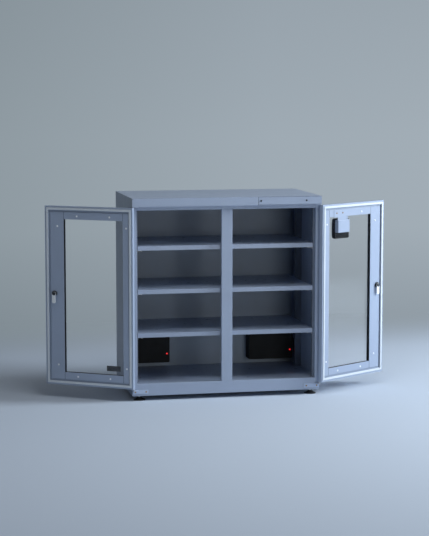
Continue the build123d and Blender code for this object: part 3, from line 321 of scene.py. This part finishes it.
def as_object(name, bm, soft):
    """Object from a mesh under construction, with its edges softened if soft isn't 0."""
    bmesh.ops.recalc_face_normals(bm, faces=bm.faces)
    me = bpy.data.meshes.new(name)
    bm.to_mesh(me)
    ob = bpy.data.objects.new(name, me)
    sc.collection.objects.link(ob)
    if soft:
        soften = ob.modifiers.new("soften", "BEVEL")
        soften.width = soft
        soften.segments = 2
    return ob


def on_door(ob, side, material):
    """Takes a piece made on the closed left door to its place on a door, and rides it there."""
    if side == "right":
        ob.data.transform(Matrix.Scale(-1, 4, (1, 0, 0)))
        ob.data.flip_normals()
    ob.data.transform(opened(side))
    ob.data.materials.append(material)
    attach(ob, side + "_door")


# Places on the closed left door, in metres; the right door mirrors them.
PANE_OUTER = -0.333413        # outer face of the pane
LINING = -0.308913            # face of the lining plates
LIP_X, LIP_LOW, LIP_HIGH = -0.029, 0.108, 1.181           # inner edges of the door's lip
LINING_X, LINING_LOW, LINING_HIGH = -0.039, 0.118, 1.171  # edges of the lining plates
HINGE_X, WINDOW_LEFT, WINDOW_RIGHT = -0.574, -0.534, -0.132
RAIL = 0.0455                 # height of the top and bottom lining plates
HEAD = 0.0045                 # radius of a lining screw's head
WASHER, WASHER_THICK = 0.0062, 0.0006
STILE_SCREW_X = (HINGE_X + 0.0175, LINING_X - 0.049)
STILE_SCREW_Z = (0.208, 1.081)
RAIL_SCREW_X = (WINDOW_LEFT + 0.09, WINDOW_RIGHT - 0.09)
RAIL_SCREW_Z = (0.13825, 1.14575)
SENSOR_SCREW = 5              # the lining screw whose place the sensor bracket's screws take
GROOVE_DEPTH, GROOVE_THICK = 0.005, 0.001
GROOVE_TUCK, GROOVE_GAP = 0.004, 0.0004       # under the lip, and short of the lining plates
SEAM_HALF, SEAM_THICK = 0.0012, 0.0003
PLATE_X, PLATE_Z, PLATE_THICK, PLATE_CORNER = (-0.504, -0.409), (0.183, 0.217), 0.001, 0.002
# The header cover's left edge, on the header's face, where a dark strip paints the shadow of the
# cover's gap.
COVER_SEAM_X, COVER_SEAM_Y, COVER_SEAM_Z = (0.1926, 0.1949), (-0.3352, -0.3349), (1.2125, 1.2635)

plate_grey = surface("plate_grey", (0.14, 0.16, 0.19), 0.5, grain=900.0, mottle=0.05)
# Painted shadow: dark strips laid over seams stand in for the shadow in their gaps.
seam_shadow = surface("seam_shadow", (0.085, 0.105, 0.145), 0.6, grain=900.0, mottle=0.05)
# Painted shade: the groove floors take the body paint made a little darker, for the shade in the
# grooves.
groove_paint_shaded = surface("groove_paint_shaded", shade(PAINT, 0.9), 0.5, grain=700.0, mottle=0.03)
header_seam_shadow = surface("header_seam_painted_shadow", (0.05, 0.06, 0.08), 0.6, grain=900.0, mottle=0.05)

plate = rounded_plate("left_door_plate", *PLATE_X, PANE_OUTER - PLATE_THICK, PANE_OUTER,
                      *PLATE_Z, PLATE_CORNER)
on_door(plate, "left", plate_grey)
for side in ("left", "right"):
    deep = LINING - GROOVE_DEPTH
    low, high = LIP_LOW - GROOVE_TUCK, LIP_HIGH + GROOVE_TUCK
    for spot, x0, x1, z0, z1 in (
        ("top", HINGE_X, LINING_X, LINING_HIGH + GROOVE_GAP, high),
        ("bottom", HINGE_X, LINING_X, low, LINING_LOW - GROOVE_GAP),
        ("latch", LINING_X + GROOVE_GAP, LIP_X + GROOVE_TUCK, low, high),
    ):
        strip = rounded_plate(f"{side}_groove_{spot}", x0, x1, deep, deep + GROOVE_THICK,
                              z0, z1, 0.0005, steps=2, soft=0.0)
        on_door(strip, side, groove_paint_shaded)
    # Dark strips over the seams between the lining plates: painted shadow of the seam gaps.
    for spot, x in (("hinge", WINDOW_LEFT), ("latch", WINDOW_RIGHT)):
        for end, z0 in (("top", LINING_HIGH - RAIL), ("bottom", LINING_LOW)):
            seam = rounded_plate(f"{side}_seam_{spot}_{end}", x - SEAM_HALF, x + SEAM_HALF,
                                 LINING, LINING + SEAM_THICK, z0, z0 + RAIL, 0.0003,
                                 steps=2, soft=0.0)
            on_door(seam, side, seam_shadow)
    screws = [(x, z) for x in STILE_SCREW_X for z in STILE_SCREW_Z]
    screws += [(x, z) for x in RAIL_SCREW_X for z in RAIL_SCREW_Z]
    if side == "right":
        del screws[SENSOR_SCREW]
    rings = washers(f"{side}_lining_washers", screws, LINING, LINING + WASHER_THICK,
                    HEAD + 0.0001, WASHER)
    on_door(rings, side, bright_zinc)
# A dark strip along the header cover's edge: painted shadow of its gap.
seam = rounded_plate("header_cover_seam", *COVER_SEAM_X, *COVER_SEAM_Y, *COVER_SEAM_Z,
                     0.0003, steps=2, soft=0.0)
seam.data.materials.append(header_seam_shadow)
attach(seam, "cabinet")

# ---- camera -----------------------------------------------------------------------------
CAMERA_AT = (-2.21827, -10.46366, 2.02924)
YAW, PITCH = math.radians(11.884), math.radians(-6.6307)
FOCAL_PIXELS, PICTURE_PIXELS, SENSOR_MM = 1679.72, 536, 36    # the picture's longer side
cam_data = bpy.data.cameras.new("camera")
cam_data.lens = FOCAL_PIXELS / PICTURE_PIXELS * SENSOR_MM
cam_data.sensor_width = SENSOR_MM
cam_data.clip_end = 100
cam = bpy.data.objects.new("camera", cam_data)
sc.collection.objects.link(cam)
cam.location = CAMERA_AT
cam.rotation_euler = (math.pi / 2 + PITCH, 0, -YAW)
sc.camera = cam

# ---- floor and backdrop: one curved sweep -----------------------------------------------
HALF_WIDTH = 14.0
COVE_START, COVE_RADIUS, WALL_TOP = 12.5, 1.5, 12.0   # far enough off for views from behind
TONE_PLANE = 3.0              # the wall's painted light and shade are laid out on a plane this far back
FLOOR_COLOR, WALL_COLOR = (0.585, 0.665, 0.775), (0.36, 0.41, 0.44)
TONE_SIDES = (-3.6, 2.6)      # the span of the wall's painted light, from left to right on that plane
# Painted light on the wall: darker to the left, lighter to the right, where the key stands.
WALL_LIGHT_ACROSS = [(0.0, (0.228, 0.270, 0.296)), (0.35, (0.268, 0.318, 0.352)),
               (0.75, (0.345, 0.402, 0.452)), (1.0, (0.362, 0.420, 0.470))]
TONE_HEIGHT = 3.0             # and from the floor up
# Painted shade on the wall: darker at its foot and towards its top.
WALL_SHADE_UP = [(0.007, (0.80, 0.81, 0.82)), (0.25, (0.99, 0.99, 0.99)),
           (0.5, (1.0, 1.0, 1.0)), (1.0, (0.87, 0.875, 0.88))]
COVE_BLEND = (-0.30, 0.012)   # heights on that plane between which floor turns into wall


def paper():
    """The sweep's material: a floor that takes shadows, and a wall whose glow is painted light
    and shade, lighter to the right and darker at its foot and top.

    The wall glows for camera, glossy and transmission rays alone, so that it lights nothing.
    """
    m, t = new_material("studio_paper")
    out = add(t, "ShaderNodeOutputMaterial")
    # the point's place on the tone plane, as seen from where the picture was taken
    geo = add(t, "ShaderNodeNewGeometry")
    away = add(t, "ShaderNodeVectorMath", p_operation="SUBTRACT")
    link(t, geo, "Position", away, 0)
    away.inputs[1].default_value = CAMERA_AT
    parts = add(t, "ShaderNodeSeparateXYZ")
    link(t, away, "Vector", parts, "Vector")
    ahead = add(t, "ShaderNodeMath", p_operation="MAXIMUM")
    link(t, parts, "Y", ahead, 0)
    ahead.inputs[1].default_value = 1.0
    factor = add(t, "ShaderNodeMath", p_operation="DIVIDE")
    factor.inputs[0].default_value = TONE_PLANE - CAMERA_AT[1]
    link(t, ahead, "Value", factor, 1)
    scaled = add(t, "ShaderNodeVectorMath", p_operation="SCALE")
    link(t, away, "Vector", scaled, 0)
    link(t, factor, "Value", scaled, "Scale")
    on_plane = add(t, "ShaderNodeVectorMath", p_operation="ADD")
    link(t, scaled, "Vector", on_plane, 0)
    on_plane.inputs[1].default_value = CAMERA_AT
    split = add(t, "ShaderNodeSeparateXYZ")
    link(t, on_plane, "Vector", split, "Vector")
    # the wall's painted light and shade, side to side and up
    across = spread_over(t, split, "X", *TONE_SIDES)
    rise = spread_over(t, split, "Z", 0.0, TONE_HEIGHT)
    wall_light = ramp(t, across, "Result", WALL_LIGHT_ACROSS)
    wall_shade_up = ramp(t, rise, "Result", WALL_SHADE_UP)
    both = add(t, "ShaderNodeMix", p_data_type="RGBA", p_blend_type="MULTIPLY")
    both.inputs["Factor"].default_value = 1.0
    link(t, wall_light, "Color", both, MIX_A)
    link(t, wall_shade_up, "Color", both, MIX_B)
    glow = add(t, "ShaderNodeEmission")
    link(t, both, MIX_OUT, glow, "Color")
    wall_lit = add(t, "ShaderNodeBsdfDiffuse")
    wall_lit.inputs["Color"].default_value = (*WALL_COLOR, 1)
    path = add(t, "ShaderNodeLightPath")
    direct = add(t, "ShaderNodeMath", p_operation="MAXIMUM")
    link(t, path, "Is Camera Ray", direct, 0)
    link(t, path, "Is Glossy Ray", direct, 1)
    seen = add(t, "ShaderNodeMath", p_operation="MAXIMUM")
    link(t, direct, "Value", seen, 0)
    link(t, path, "Is Transmission Ray", seen, 1)
    wall = add(t, "ShaderNodeMixShader")
    link(t, seen, "Value", wall, "Fac")
    link(t, wall_lit, "BSDF", wall, 1)
    link(t, glow, "Emission", wall, 2)
    floor = add(t, "ShaderNodeBsdfDiffuse")
    floor.inputs["Color"].default_value = (*FLOOR_COLOR, 1)
    cove = spread_over(t, split, "Z", *COVE_BLEND, kind="SMOOTHSTEP")
    mix = add(t, "ShaderNodeMixShader")
    link(t, cove, "Result", mix, "Fac")
    link(t, floor, "BSDF", mix, 1)
    link(t, wall, "Shader", mix, 2)
    link(t, mix, "Shader", out, "Surface")
    return m


def sweep():
    """Floor, cove and wall as one sheet."""
    me = bpy.data.meshes.new("studio_sweep")
    profile = [(y, 0.0) for y in (-16.0, -6.0, -2.0, 0.0, 1.5, 4.0, 8.0)]
    profile += [(COVE_START + COVE_RADIUS * math.sin(a), COVE_RADIUS * (1 - math.cos(a)))
                for a in [math.radians(d) for d in range(0, 91, 6)]]
    profile += [(COVE_START + COVE_RADIUS, z) for z in (3.0, 6.0, WALL_TOP)]
    bm = bmesh.new()
    rows = [[bm.verts.new((x, y, z)) for y, z in profile] for x in (-HALF_WIDTH, HALF_WIDTH)]
    for i in range(len(profile) - 1):
        f = bm.faces.new((rows[0][i], rows[1][i], rows[1][i + 1], rows[0][i + 1]))
        f.smooth = True
    bm.to_mesh(me)
    me.materials.append(paper())
    ob = bpy.data.objects.new("studio_sweep", me)
    sc.collection.objects.link(ob)


sweep()

# ---- light: a cool key from the right, and weak fills -----------------------------------
def area(name, loc, target, size, energy, color):
    """Rectangular lamp at loc, aimed at target."""
    d = bpy.data.lights.new(name, "AREA")
    d.shape = "RECTANGLE"
    d.size, d.size_y = size
    d.energy = energy
    d.color = color
    o = bpy.data.objects.new(name, d)
    sc.collection.objects.link(o)
    o.location = loc
    o.rotation_euler = (Vector(target) - Vector(loc)).to_track_quat("-Z", "Y").to_euler()


area("key", (5.8, -1.5, 2.9), (0.2, -0.2, 0.7), (2.2, 2.4), 430, (0.86, 0.93, 1.0))
area("front", (1.4, -7.4, 1.1), (0.0, 0.0, 0.65), (2.0, 1.6), 50, (0.97, 0.985, 1.0))
area("overhead", (0.4, -2.2, 5.0), (0.0, -0.2, 0.6), (3.0, 2.2), 68, (0.95, 0.975, 1.0))
area("left_fill", (-6.0, -2.4, 1.8), (-0.6, 0.0, 0.7), (2.0, 2.0), 9, (0.98, 0.99, 1.0))
world = bpy.data.worlds.new("world")
world.use_nodes = True
background = world.node_tree.nodes["Background"]
background.inputs["Color"].default_value = (0.90, 0.95, 1.0, 1)
background.inputs["Strength"].default_value = 0.11
sc.world = world
sc.view_settings.view_transform = "Standard"
